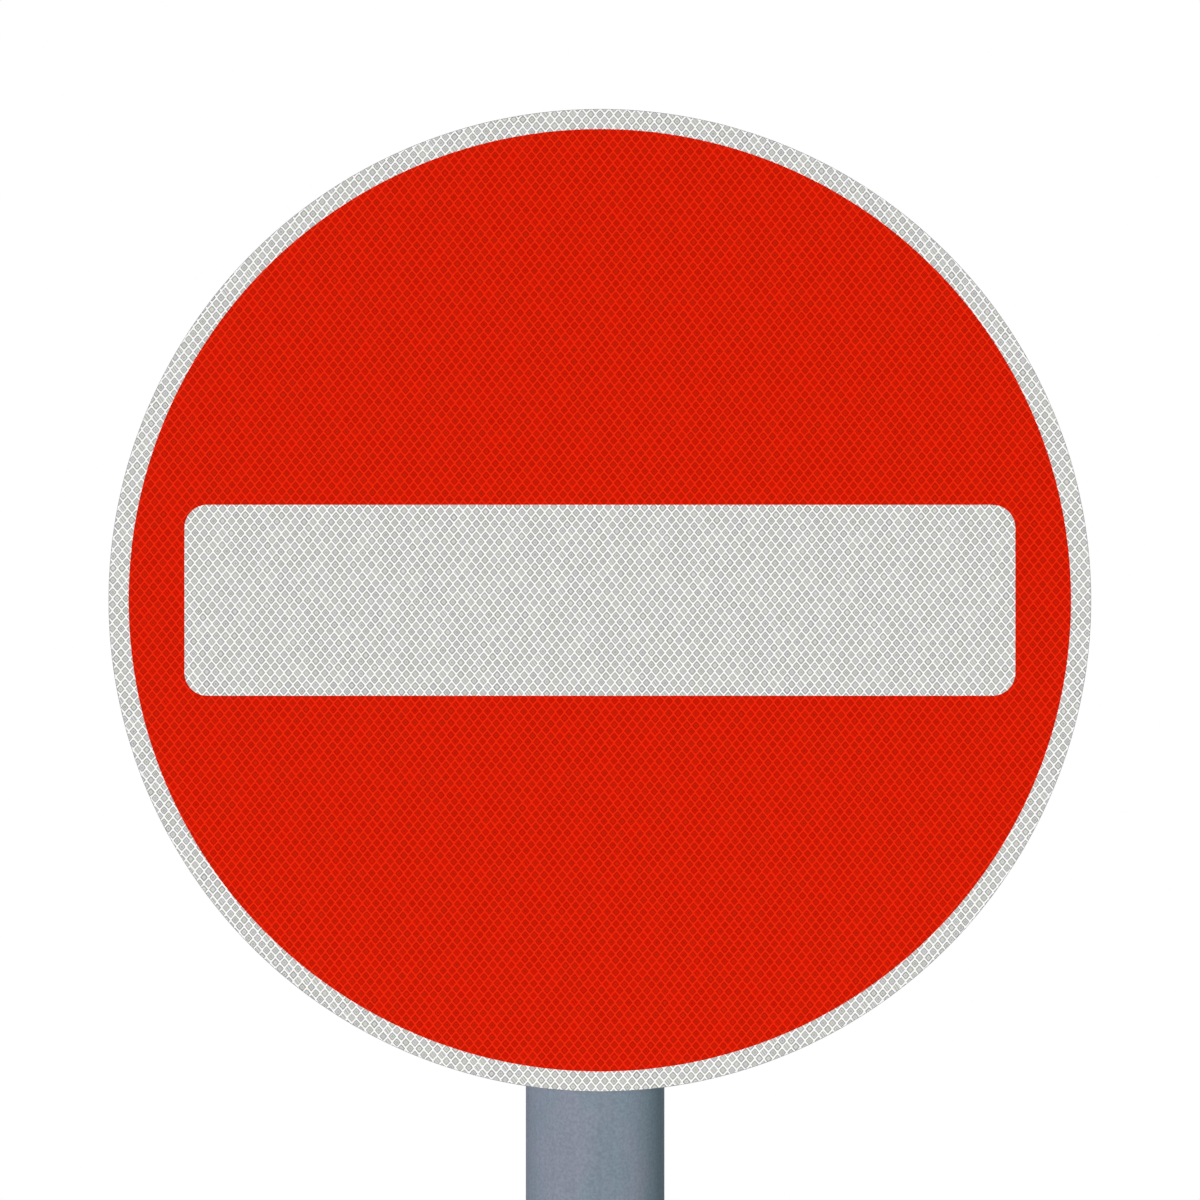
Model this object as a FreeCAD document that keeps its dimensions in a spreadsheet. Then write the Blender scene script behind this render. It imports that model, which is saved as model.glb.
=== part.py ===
"""No entry sign: a round faced plate on two channel rails, clipped to a round steel post.

Frame: millimetres, +Z up, the sign's face towards -Y, +X to the right of someone reading it.
The origin is the centre of the post's foot.
"""
import FreeCAD, Part
import os

import Sketcher

# Driving dimensions, in millimetres. The first word of each name is the piece it belongs to.
SIZES = {
    "post_diameter": 88.9,
    "post_wall": 3.2,
    "post_length": 2000,
    # The round sign
    "plate_diameter": 600,
    "plate_thickness": 3,
    "plate_rise": 26,
    "plate_side_offset": 3,
    "sheeting_thickness": 0.5,
    "sheeting_edge_inset": 0.5,
    "film_thickness": 0.1,
    "film_white_border": 12.5,
    "bar_end_gap": 34,
    "bar_height": 116.5,
    "bar_corner_radius": 14,
    # The channel rails and the tape that bonds them
    "rail_spacing": 300,
    "rail_end_margin": 27,
    "rail_flange_width": 40,
    "rail_flange_thickness": 2,
    "rail_wall": 2.2,
    "rail_lip": 2.5,
    "rail_head_play": 3.7,
    "rail_side_play": 0.3,
    "rail_slot_play": 0.5,
    "rail_mark_depth": 0.4,
    "rail_root_radius": 1,
    "rail_edge_radius": 0.6,
    "tape_width": 15,
    "tape_thickness": 1.1,
    "tape_edge_margin": 1,
    "tape_end_margin": 4,
    # The saddle clips
    "clip_height": 30,
    "clip_strap": 4,
    "clip_ear": 5,
    "clip_ear_margin": 13,
    "clip_post_clearance": 0.1,
    "clip_hole_play": 0.5,
    "clip_outer_root_radius": 3.5,
    "clip_ear_end_radius": 2,
    # The fasteners
    "bolt_diameter": 8,
    "bolt_flats": 13,
    "bolt_head": 5.3,
    "bolt_end_projection": 2.9,
    "washer_diameter": 17,
    "washer_thickness": 1.6,
    "washer_bore_play": 0.2,
    "washer_strap_gap": 6,
    "nut_height": 8,
    "nut_ring_wall": 1.3,
    "nut_ring_height": 1.5,
    "nut_ring_recess": 0.4,
    # The cap over the post's top
    "cap_top": 3,
    "cap_recess": 1,
    "cap_edge_chamfer": 2,
    "cap_skirt_length": 25,
    "cap_skirt_wall": 2.2,
    "cap_post_clearance": 0.15,
}

# Places and sizes that follow from the driving dimensions, each an expression over the sheet.
POST_RADIUS = "(sizes.post_diameter/2)"
POST_BORE_RADIUS = f"({POST_RADIUS}-sizes.post_wall)"
PLATE_RADIUS = "(sizes.plate_diameter/2)"
SIGN_HEIGHT = f"(sizes.post_length+sizes.plate_rise-{PLATE_RADIUS})"

RAIL_INNER = "(sizes.bolt_flats/2+sizes.rail_side_play)"
RAIL_OUTER = f"({RAIL_INNER}+sizes.rail_wall)"
RAIL_SLOT = "(sizes.bolt_diameter/2+sizes.rail_slot_play)"
RAIL_FLANGE = "(sizes.rail_flange_width/2)"
RAIL_FLOOR = "(sizes.rail_lip+sizes.bolt_head+sizes.rail_head_play)"
RAIL_DEPTH = f"({RAIL_FLOOR}+sizes.rail_flange_thickness)"
RAIL_REACH = f"(sizes.rail_spacing/2+{RAIL_FLANGE})"
RAIL_LENGTH = f"(2*(sqrt({PLATE_RADIUS}^2-{RAIL_REACH}^2)-sizes.rail_end_margin))"
RAIL_MARK = f"(({RAIL_OUTER}+{RAIL_FLANGE})/2)"

RAIL_FACE_Y = f"(-{POST_RADIUS})"
RAIL_BACK_Y = f"({RAIL_FACE_Y}-{RAIL_DEPTH})"
PLATE_BACK_Y = f"({RAIL_BACK_Y}-sizes.tape_thickness)"
PLATE_FRONT_Y = f"({PLATE_BACK_Y}-sizes.plate_thickness)"
SHEETING_FRONT_Y = f"({PLATE_FRONT_Y}-sizes.sheeting_thickness)"

BOLT_RADIUS = "(sizes.bolt_diameter/2)"
HEX_CORNER = "(sizes.bolt_flats/sqrt(3))"
NUT_RING_SEAT = "(sizes.nut_height-sizes.nut_ring_recess-sizes.nut_ring_height)"
BOLT_GRIP = "(sizes.rail_lip+sizes.clip_ear+sizes.washer_thickness)"
BOLT_LENGTH = f"({BOLT_GRIP}+sizes.nut_height+sizes.bolt_end_projection)"
BOLT_SEAT_Y = f"({RAIL_FACE_Y}-sizes.rail_lip)"
WASHER_Y = f"({RAIL_FACE_Y}+sizes.clip_ear)"
NUT_Y = f"({WASHER_Y}+sizes.washer_thickness)"

CLIP_INNER = f"({POST_RADIUS}+sizes.clip_post_clearance)"
CLIP_OUTER = f"({CLIP_INNER}+sizes.clip_strap)"
BOLT_X = f"({CLIP_OUTER}+sizes.washer_strap_gap+sizes.washer_diameter/2)"
CLIP_REACH = f"({BOLT_X}+sizes.clip_ear_margin)"

LEVELS = {"upper": 1, "lower": -1}
SIDES = {"left": -1, "right": 1}
CLOSE = 1e-4

doc = FreeCAD.newDocument("NoEntrySign")


def make_sheet():
    """The spreadsheet that holds the driving dimensions."""
    sheet = doc.addObject("Spreadsheet::Sheet", "sizes")
    for row, (name, size) in enumerate(SIZES.items(), start=1):
        sheet.set(f"A{row}", name)
        sheet.set(f"B{row}", str(size))
        sheet.setAlias(f"B{row}", name)
    doc.recompute()
    return sheet


sizes = make_sheet()


def value(expression):
    """The number that an expression over the sheet gives now."""
    result = sizes.evalExpression(expression)
    return float(getattr(result, "Value", result))


def new_body(name):
    """An empty body, labelled with the piece's name."""
    body = doc.addObject("PartDesign::Body", name)
    body.Label = name
    return body


def new_sketch(body, plane, name):
    """An empty sketch on one of the body's own origin planes."""
    sketch = body.newObject("Sketcher::SketchObject", f"{body.Name}_{name}")
    base = next(item for item in body.Origin.OriginFeatures if item.Role == plane)
    sketch.AttachmentSupport = [(base, "")]
    sketch.MapMode = "FlatFace"
    return sketch


def bind(sketch, constraint, name, expression):
    """Add a dimension to the sketch and tie it to the sheet."""
    index = sketch.addConstraint(constraint)
    sketch.renameConstraint(index, name)
    sketch.setExpression(f"Constraints.{name}", expression)


def draw_circle(sketch, radius, x="0", y="0"):
    """A circle with its centre and radius tied to the sheet."""
    centre = FreeCAD.Vector(value(x), value(y), 0)
    index = sketch.addGeometry(Part.Circle(centre, FreeCAD.Vector(0, 0, 1), value(radius)))
    bind(sketch, Sketcher.Constraint("Radius", index, value(radius)), f"radius{index}", radius)
    bind(sketch, Sketcher.Constraint("DistanceX", -1, 1, index, 3, centre.x), f"x{index}", x)
    bind(sketch, Sketcher.Constraint("DistanceY", -1, 1, index, 3, centre.y), f"y{index}", y)


def draw_outline(sketch, corners, arcs=None):
    """A closed outline with each corner tied to the sheet.

    corners holds an (x, y) pair of expressions for each corner. The side after corner n is
    straight, or the arc about arcs[n] = (centre x, centre y, turn), where turn is 1 for
    counter-clockwise and -1 for clockwise.
    """
    arcs = arcs or {}
    count = len(corners)
    points = [FreeCAD.Vector(value(x), value(y), 0) for x, y in corners]
    first = []
    for side, start in enumerate(points):
        end = points[(side + 1) % count]
        if side in arcs:
            centre = FreeCAD.Vector(value(arcs[side][0]), value(arcs[side][1]), 0)
            ends = (start, end) if arcs[side][2] > 0 else (end, start)
            circle = Part.Circle(centre, FreeCAD.Vector(0, 0, 1), (start - centre).Length)
            angles = [circle.parameter(point) for point in ends]
            sketch.addGeometry(Part.ArcOfCircle(circle, *angles))
            first.append(1 if arcs[side][2] > 0 else 2)
        else:
            sketch.addGeometry(Part.LineSegment(start, end))
            first.append(1)
    for side in range(count):
        after = (side + 1) % count
        joint = Sketcher.Constraint("Coincident", side, 3 - first[side], after, first[after])
        sketch.addConstraint(joint)
    for side, (x, y, _) in arcs.items():
        for axis, expression in (("X", x), ("Y", y)):
            rule = Sketcher.Constraint(f"Distance{axis}", -1, 1, side, 3, value(expression))
            bind(sketch, rule, f"centre_{axis}{side}", expression)
    for corner, (x, y) in enumerate(corners):
        before = (corner - 1) % count
        axes = [("X", x), ("Y", y)]
        if before in arcs:
            # An arc's end already lies on its circle, so only its place along it is left.
            across = abs(points[corner].x - value(arcs[before][0]))
            along = abs(points[corner].y - value(arcs[before][1]))
            axes = axes[1:] if across > along else axes[:1]
        for axis, expression in axes:
            number = value(expression)
            rule = Sketcher.Constraint(f"Distance{axis}", -1, 1, corner, first[corner], number)
            bind(sketch, rule, f"corner_{axis}{corner}", expression)


def add_feature(body, kind, name, sketch):
    """A sketch-based feature of the body."""
    feature = body.newObject(f"PartDesign::{kind}", f"{body.Name}_{name}")
    feature.Profile = sketch
    sketch.Visibility = False
    return feature


def pad(body, sketch, length, name="pad", symmetric=False):
    """Pad a sketch along its normal, or half to each side of it."""
    feature = add_feature(body, "Pad", name, sketch)
    feature.setExpression("Length", length)
    feature.SideType = "Symmetric" if symmetric else "One side"
    return feature


def pocket_through(body, sketch, name="pocket"):
    """Cut a sketch through the whole body, both ways."""
    doc.recompute()
    before = body.Shape.Volume
    feature = add_feature(body, "Pocket", name, sketch)
    feature.Type = "ThroughAll"
    feature.SideType = "Symmetric"
    doc.recompute()
    if body.Shape.Volume > before - CLOSE:
        raise RuntimeError(f"{feature.Name} cuts nothing")
    return feature


def spin(body, sketch, kind="Revolution", name="spin"):
    """Add or cut a full turn of the sketch about the body's own Z axis."""
    feature = add_feature(body, kind, name, sketch)
    axis = next(item for item in body.Origin.OriginFeatures if item.Role == "Z_Axis")
    feature.ReferenceAxis = (axis, [""])
    feature.Angle = 360
    return feature


def fillet(body, radius, chosen, name="fillet"):
    """Fillet the edges of the body that chosen(edge) picks."""
    doc.recompute()
    tip = body.Tip
    names = [f"Edge{n}" for n, edge in enumerate(tip.Shape.Edges, start=1) if chosen(edge)]
    if not names:
        raise RuntimeError(f"{body.Name} has no edge for its {name}")
    feature = body.newObject("PartDesign::Fillet", f"{body.Name}_{name}")
    feature.Base = (tip, names)
    feature.setExpression("Radius", radius)
    return feature


def runs_along(edge, axis):
    """Whether an edge is straight and parallel to the axis, 0 to 2 for x to z."""
    if len(edge.Vertexes) != 2 or not isinstance(edge.Curve, (Part.Line, Part.LineSegment)):
        return False
    along = edge.Vertexes[1].Point - edge.Vertexes[0].Point
    return abs(abs(along[axis]) - along.Length) < CLOSE


def place(item, x="0", y="0", z="0", rotation=None):
    """Place a finished piece, with each coordinate tied to the sheet."""
    if rotation:
        item.Placement = FreeCAD.Placement(FreeCAD.Vector(), rotation)
    item.setExpression("Placement.Base.x", x)
    item.setExpression("Placement.Base.y", y)
    item.setExpression("Placement.Base.z", z)
    return item


def level_height(level):
    """The height of one of the two rails, from the post's foot."""
    return f"{SIGN_HEIGHT}+{LEVELS[level]}*sizes.rail_spacing/2"


# Turns a piece that was drawn along Z so that its Z runs along +Y, away from the reader.
FACING_BACK = FreeCAD.Rotation(FreeCAD.Vector(1, 0, 0), -90)


def make_post():
    """Welded round steel tube, sawn square at both ends."""
    body = new_body("post")
    sketch = new_sketch(body, "XY_Plane", "section")
    draw_circle(sketch, POST_RADIUS)
    draw_circle(sketch, POST_BORE_RADIUS)
    pad(body, sketch, "sizes.post_length")
    return body


def make_sign_plate():
    """Round aluminium blank."""
    body = new_body("sign_plate")
    sketch = new_sketch(body, "XY_Plane", "disc")
    draw_circle(sketch, PLATE_RADIUS)
    pad(body, sketch, "sizes.plate_thickness")
    return place(body, "sizes.plate_side_offset", PLATE_FRONT_Y, SIGN_HEIGHT, FACING_BACK)


def make_reflective_sheeting():
    """White prismatic sheet over the whole face of the plate."""
    body = new_body("reflective_sheeting")
    sketch = new_sketch(body, "XY_Plane", "disc")
    draw_circle(sketch, f"{PLATE_RADIUS}-sizes.sheeting_edge_inset")
    pad(body, sketch, "sizes.sheeting_thickness")
    return place(body, "sizes.plate_side_offset", SHEETING_FRONT_Y, SIGN_HEIGHT, FACING_BACK)


def make_red_film():
    """Red overlay disc with the round-cornered bar cut out of it."""
    body = new_body("red_film")
    disc_radius = f"({PLATE_RADIUS}-sizes.film_white_border)"
    disc = new_sketch(body, "XY_Plane", "disc")
    draw_circle(disc, disc_radius)
    pad(body, disc, "sizes.film_thickness")
    bar = new_sketch(body, "XY_Plane", "bar")
    half_length = f"({disc_radius}-sizes.bar_end_gap)"
    half_height = "(sizes.bar_height/2)"
    signs = ((-1, -1), (1, -1), (1, 1), (-1, 1))
    draw_outline(bar, [(f"{x}*{half_length}", f"{y}*{half_height}") for x, y in signs])
    pocket_through(body, bar)
    fillet(body, "sizes.bar_corner_radius", lambda edge: runs_along(edge, 2))
    front = f"{SHEETING_FRONT_Y}-sizes.film_thickness"
    return place(body, "sizes.plate_side_offset", front, SIGN_HEIGHT, FACING_BACK)


def rail_corners():
    """The rail's section in (y, z), from its face on the post, y = 0, back to the plate."""
    flange_top = f"(-{RAIL_FLOOR})"
    mark_bottom = f"(-{RAIL_FLOOR}-sizes.rail_mark_depth)"
    outside = [
        ("0", RAIL_SLOT),
        ("0", RAIL_OUTER),
        (flange_top, RAIL_OUTER),
        (flange_top, f"({RAIL_MARK}-sizes.rail_mark_depth)"),
        (mark_bottom, RAIL_MARK),
        (flange_top, f"({RAIL_MARK}+sizes.rail_mark_depth)"),
        (flange_top, RAIL_FLANGE),
        (f"(-{RAIL_DEPTH})", RAIL_FLANGE),
    ]
    inside = [
        (flange_top, "sizes.rail_mark_depth"),
        (flange_top, RAIL_INNER),
        ("(-sizes.rail_lip)", RAIL_INNER),
        ("(-sizes.rail_lip)", RAIL_SLOT),
    ]
    mirrored_outside = [(y, f"(-{z})") for y, z in reversed(outside)]
    mirrored_inside = [(y, f"(-{z})") for y, z in reversed(inside)]
    floor_mark = [(mark_bottom, "0")]
    return outside + mirrored_outside + mirrored_inside + floor_mark + inside


def make_rail(level):
    """Extruded channel rail: a wide base flange, and a T-slot that holds the bolt heads.

    Shallow V grooves mark the drilling lines along the flanges and the slot's floor.
    """
    body = new_body(f"{level}_rail")
    sketch = new_sketch(body, "YZ_Plane", "section")
    draw_outline(sketch, rail_corners())
    pad(body, sketch, RAIL_LENGTH, symmetric=True)
    outer, flange = value(RAIL_OUTER), value(RAIL_FLANGE)
    floor_y = -value(RAIL_FLOOR)

    def at_root(edge):
        point = edge.Vertexes[0].Point
        return runs_along(edge, 0) and abs(abs(point.z) - outer) < CLOSE and point.y < floor_y / 2

    def at_outer_corner(edge):
        point = edge.Vertexes[0].Point
        on_face = abs(abs(point.z) - outer) < CLOSE and abs(point.y) < CLOSE
        on_flange = abs(abs(point.z) - flange) < CLOSE and abs(point.y - floor_y) < CLOSE
        return runs_along(edge, 0) and (on_face or on_flange)

    fillet(body, "sizes.rail_root_radius", at_root, "roots")
    fillet(body, "sizes.rail_edge_radius", at_outer_corner, "edges")
    return place(body, "sizes.plate_side_offset", RAIL_FACE_Y, level_height(level))


def make_tape(level, row, side):
    """One strip of foam tape under a rail's flange."""
    tape = doc.addObject("Part::Box", f"{level}_rail_tape_{row}")
    tape.Label = tape.Name
    length = f"({RAIL_LENGTH}-2*sizes.tape_end_margin)"
    tape.setExpression("Length", length)
    tape.setExpression("Width", "sizes.tape_thickness")
    tape.setExpression("Height", "sizes.tape_width")
    middle = f"({RAIL_FLANGE}-sizes.tape_edge_margin-sizes.tape_width/2)"
    height = f"{level_height(level)}+{side}*{middle}-sizes.tape_width/2"
    return place(tape, f"sizes.plate_side_offset-{length}/2", PLATE_BACK_Y, height)


def clip_outline():
    """The clip's section: two ears, and a strap round the back half of the post."""
    front, ear_back = RAIL_FACE_Y, f"({RAIL_FACE_Y}+sizes.clip_ear)"
    right = [
        (CLIP_INNER, "0"),
        (CLIP_INNER, front),
        (CLIP_REACH, front),
        (CLIP_REACH, ear_back),
        (CLIP_OUTER, ear_back),
        (CLIP_OUTER, "0"),
    ]
    left = [(f"(-{x})", y) for x, y in reversed(right)]
    # The outer arc follows the right half's last corner, the inner arc the left half's.
    arcs = {len(right) - 1: ("0", "0", 1), 2 * len(right) - 1: ("0", "0", -1)}
    return right + left, arcs


def make_clip(level):
    """Saddle clip, cut from an extrusion, with a hole in each ear for its bolt."""
    body = new_body(f"{level}_clip")
    sketch = new_sketch(body, "XY_Plane", "section")
    draw_outline(sketch, *clip_outline())
    pad(body, sketch, "sizes.clip_height", symmetric=True)
    holes = new_sketch(body, "XZ_Plane", "holes")
    for side in SIDES.values():
        draw_circle(holes, f"{BOLT_RADIUS}+sizes.clip_hole_play", x=f"{side}*{BOLT_X}")
    pocket_through(body, holes, "holes")
    outer, reach = value(CLIP_OUTER), value(CLIP_REACH)
    ear_back = value(WASHER_Y)

    def at_outer_root(edge):
        point = edge.Vertexes[0].Point
        at_strap = abs(abs(point.x) - outer) < CLOSE and abs(point.y - ear_back) < CLOSE
        return runs_along(edge, 2) and at_strap

    def at_ear_end(edge):
        return runs_along(edge, 2) and abs(abs(edge.Vertexes[0].Point.x) - reach) < CLOSE

    fillet(body, "sizes.clip_outer_root_radius", at_outer_root, "roots")
    fillet(body, "sizes.clip_ear_end_radius", at_ear_end, "ear_ends")
    return place(body, z=level_height(level))


def hexagon():
    """Corners of a bolt's hexagon, with two flats facing up and down."""
    corner, half, flat = HEX_CORNER, f"({HEX_CORNER}/2)", "(sizes.bolt_flats/2)"
    return [
        (corner, "0"),
        (half, flat),
        (f"(-{half})", flat),
        (f"(-{corner})", "0"),
        (f"(-{half})", f"(-{flat})"),
        (half, f"(-{flat})"),
    ]


def make_bolt(level, side):
    """Hex bolt with its head in the rail's slot and its shank out through the clip's ear."""
    body = new_body(f"{level}_{side}_bolt")
    head = new_sketch(body, "XY_Plane", "head")
    draw_outline(head, hexagon())
    head_pad = pad(body, head, "sizes.bolt_head", "head_pad")
    head_pad.Reversed = True
    shank = new_sketch(body, "XY_Plane", "shank")
    draw_circle(shank, BOLT_RADIUS)
    pad(body, shank, BOLT_LENGTH, "shank_pad")
    across = f"{SIDES[side]}*{BOLT_X}"
    return place(body, across, BOLT_SEAT_Y, level_height(level), FACING_BACK)


def make_washer(level, side):
    """Flat washer between the clip's ear and the nut."""
    body = new_body(f"{level}_{side}_washer")
    sketch = new_sketch(body, "XY_Plane", "ring")
    draw_circle(sketch, "sizes.washer_diameter/2")
    draw_circle(sketch, f"{BOLT_RADIUS}+sizes.washer_bore_play")
    pad(body, sketch, "sizes.washer_thickness")
    return place(body, f"{SIDES[side]}*{BOLT_X}", WASHER_Y, level_height(level), FACING_BACK)


def make_nut(level, side):
    """Lock nut: a hexagon with a round seat in its far face for a nylon ring."""
    body = new_body(f"{level}_{side}_nut")
    base = new_sketch(body, "XY_Plane", "hexagon")
    draw_outline(base, hexagon())
    pad(body, base, "sizes.nut_height")
    bore = new_sketch(body, "XY_Plane", "bore")
    draw_circle(bore, BOLT_RADIUS)
    pocket_through(body, bore, "bore_cut")
    seat = new_sketch(body, "XZ_Plane", "ring_seat")
    inner, outer = f"({BOLT_RADIUS}/2)", f"({BOLT_RADIUS}+sizes.nut_ring_wall)"
    above = "(sizes.nut_height+sizes.nut_ring_height)"
    corners = [(inner, NUT_RING_SEAT), (outer, NUT_RING_SEAT), (outer, above), (inner, above)]
    draw_outline(seat, corners)
    spin(body, seat, "Groove", "ring_seat_cut")
    return place(body, f"{SIDES[side]}*{BOLT_X}", NUT_Y, level_height(level), FACING_BACK)


def make_nut_ring(level, side):
    """Nylon ring that grips the bolt's thread inside the lock nut."""
    body = new_body(f"{level}_{side}_nut_ring")
    sketch = new_sketch(body, "XY_Plane", "ring")
    draw_circle(sketch, f"{BOLT_RADIUS}+sizes.nut_ring_wall")
    draw_circle(sketch, BOLT_RADIUS)
    pad(body, sketch, "sizes.nut_ring_height")
    depth = f"{NUT_Y}+{NUT_RING_SEAT}"
    return place(body, f"{SIDES[side]}*{BOLT_X}", depth, level_height(level), FACING_BACK)


def make_post_cap():
    """Push-on cap: a skirt over the tube's end, and a chamfered top that seats on its rim."""
    body = new_body("post_cap")
    inner = f"({POST_RADIUS}+sizes.cap_post_clearance)"
    outer = f"({inner}+sizes.cap_skirt_wall)"
    shoulder = "(sizes.cap_top-sizes.cap_edge_chamfer)"
    corners = [
        ("0", "sizes.cap_recess"),
        (POST_BORE_RADIUS, "sizes.cap_recess"),
        (POST_BORE_RADIUS, "0"),
        (inner, "0"),
        (inner, "(-sizes.cap_skirt_length)"),
        (outer, "(-sizes.cap_skirt_length)"),
        (outer, shoulder),
        (f"({outer}-sizes.cap_edge_chamfer)", "sizes.cap_top"),
        ("0", "sizes.cap_top"),
    ]
    section = new_sketch(body, "XZ_Plane", "section")
    draw_outline(section, corners)
    spin(body, section)
    return place(body, z="sizes.post_length")


def make_pieces():
    """Every piece of the sign, in the order in which it is put together."""
    pieces = [make_post(), make_post_cap()]
    pieces += [make_sign_plate(), make_reflective_sheeting(), make_red_film()]
    for level in LEVELS:
        pieces.append(make_rail(level))
        pieces.append(make_tape(level, "high", 1))
        pieces.append(make_tape(level, "low", -1))
        pieces.append(make_clip(level))
        for side in SIDES:
            for make in (make_bolt, make_washer, make_nut, make_nut_ring):
                pieces.append(make(level, side))
    return pieces


def check(pieces):
    """Stop if any object failed, or any piece isn't one valid solid."""
    for item in doc.Objects:
        if {"Invalid", "Error"} & set(item.State):
            raise RuntimeError(f"{item.Name} failed: {item.State}")
    for piece in pieces:
        shape = piece.Shape
        if shape.isNull() or not shape.isValid() or len(shape.Solids) != 1:
            raise RuntimeError(f"{piece.Label} is not one valid solid")


def export(pieces):
    """Write each piece to a file of its own."""
    os.makedirs("parts", exist_ok=True)
    for piece in pieces:
        piece.Shape.exportStep(f"parts/{piece.Label}.step")


pieces = make_pieces()
doc.recompute()
check(pieces)
export(pieces)
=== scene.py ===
"""No entry sign: the lattice of its prismatic sheeting, its fasteners and the finish of every surface.

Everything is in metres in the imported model's frame: +Z up, the sign's face towards -Y, and the
origin at the centre of the post's foot.
"""
import math

import bmesh
import bpy
import numpy as np
from mathutils import Matrix, Vector
from mathutils.geometry import tessellate_polygon


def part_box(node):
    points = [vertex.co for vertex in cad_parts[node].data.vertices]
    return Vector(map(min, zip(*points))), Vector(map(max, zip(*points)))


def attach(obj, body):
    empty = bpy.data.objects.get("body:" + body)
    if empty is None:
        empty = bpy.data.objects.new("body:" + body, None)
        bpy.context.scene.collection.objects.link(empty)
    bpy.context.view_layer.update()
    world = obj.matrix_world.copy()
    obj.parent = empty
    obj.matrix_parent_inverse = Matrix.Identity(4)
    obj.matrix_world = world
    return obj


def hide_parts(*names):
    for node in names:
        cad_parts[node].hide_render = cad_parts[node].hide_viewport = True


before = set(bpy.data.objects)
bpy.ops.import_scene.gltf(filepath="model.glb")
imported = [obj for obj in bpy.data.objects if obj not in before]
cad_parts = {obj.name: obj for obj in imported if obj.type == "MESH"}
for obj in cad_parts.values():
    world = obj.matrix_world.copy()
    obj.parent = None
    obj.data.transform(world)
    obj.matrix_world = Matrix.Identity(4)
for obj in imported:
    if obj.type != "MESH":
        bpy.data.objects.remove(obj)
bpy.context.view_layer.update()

MM = 0.001
FULL_TURN = 2 * math.pi
BODY = "root"
LEVELS = ("upper", "lower")
SIDES = ("left", "right")
TAPE_ROWS = ("high", "low")
# Turns what was drawn along +Z so that it runs along +Y, away from the reader.
FACING_BACK = Matrix.Rotation(-math.pi / 2, 4, "X")

# The face, in the sign's own plane
sheet_low, sheet_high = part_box("reflective_sheeting")
film_low, film_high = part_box("red_film")
plate_low, plate_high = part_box("sign_plate")
SIGN_X = (film_low.x + film_high.x) / 2
SIGN_Z = (film_low.z + film_high.z) / 2
PLATE_RADIUS = (plate_high.x - plate_low.x) / 2
SHEET_RADIUS = (sheet_high.x - sheet_low.x) / 2
FILM_RADIUS = (film_high.x - film_low.x) / 2
BAR_TO_RIM = 34 * MM
BAR_HALF_LENGTH = FILM_RADIUS - BAR_TO_RIM
BAR_HALF_HEIGHT = 58.25 * MM
BAR_CORNER = 14 * MM

# The sheeting's lattice of cells between crossed seal lines, those that fall to the right first
CELL_PITCHES = (4.431 * MM, 4.419 * MM)
LINE_SLOPE = math.radians(53.1)
LATTICE_TURN = math.radians(-0.73)
LATTICE_PHASE = (0.003, -0.565)
# A cell's reach from its middle, as shares of the lattice's half diagonals
CELL_ACROSS = 0.85
CELL_UP = 0.7
# The flat crown of a cell, as a share of the cell, and how far it stands forward
CROWN_SHARE = 0.86
CELL_RELIEF = 0.03 * MM
# How many cells the pattern in them goes on for before it repeats, and the UV map it is drawn on
TILE_CELLS = 16
PATTERN_MAP = "OFBake"
# How far the open cells run on under the film
HIDDEN_LAP = 3 * MM
# How many points of a skin's outline in front go with one at its back
WALL_STEP = 4
# How many cells are laid beyond a region before those outside it go
SPARE_CELLS = 3
# Into how many steps a cell is divided to tell which of its points are shared
STEPS_IN_CELL = 1000
# How often the way to a region's outline is halved
HALVINGS = 24
# Points nearer to each other than this become one.
NEEDLE_WIDTH = 0.002 * MM


def lattice_axes():
    """Rows that turn a place on the face into its place in the lattice, counted in cells."""
    rows = []
    for side, pitch in zip((1, -1), CELL_PITCHES):
        angle = LATTICE_TURN + side * (math.pi / 2 - LINE_SLOPE)
        rows.append((math.cos(angle) / pitch, math.sin(angle) / pitch))
    return np.array(rows)


AXES = lattice_axes()


def to_cells(across, up):
    """Lattice coordinates of places given from the sign's centre."""
    return np.stack([across, up], -1) @ AXES.T + LATTICE_PHASE


def to_face(cells):
    """Places from the sign's centre, of lattice coordinates."""
    return (cells - LATTICE_PHASE) @ np.linalg.inv(AXES).T


def past_disc(radius, across, up):
    """How far places lie outside a disc about the sign's centre."""
    return np.hypot(across, up) - radius


def past_bar(grown, across, up):
    """How far places lie outside the white bar, once it has grown by that much all round."""
    corner = BAR_CORNER + grown
    x = np.abs(across) - (BAR_HALF_LENGTH - BAR_CORNER)
    z = np.abs(up) - (BAR_HALF_HEIGHT - BAR_CORNER)
    outside = np.hypot(np.maximum(x, 0), np.maximum(z, 0))
    return outside + np.minimum(np.maximum(x, z), 0) - corner


def past_film(across, up):
    """Positive where the red film doesn't reach."""
    return np.maximum(past_disc(FILM_RADIUS, across, up), -past_bar(0, across, up))


def past_border(across, up):
    """Positive away from the white border, which runs on a little under the film."""
    inner = past_disc(FILM_RADIUS - HIDDEN_LAP, across, up)
    return np.maximum(past_disc(SHEET_RADIUS, across, up), -inner)


def past_white_bar(across, up):
    """Positive away from the white bar, which runs on a little under the film."""
    return past_bar(HIDDEN_LAP, across, up)


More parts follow.
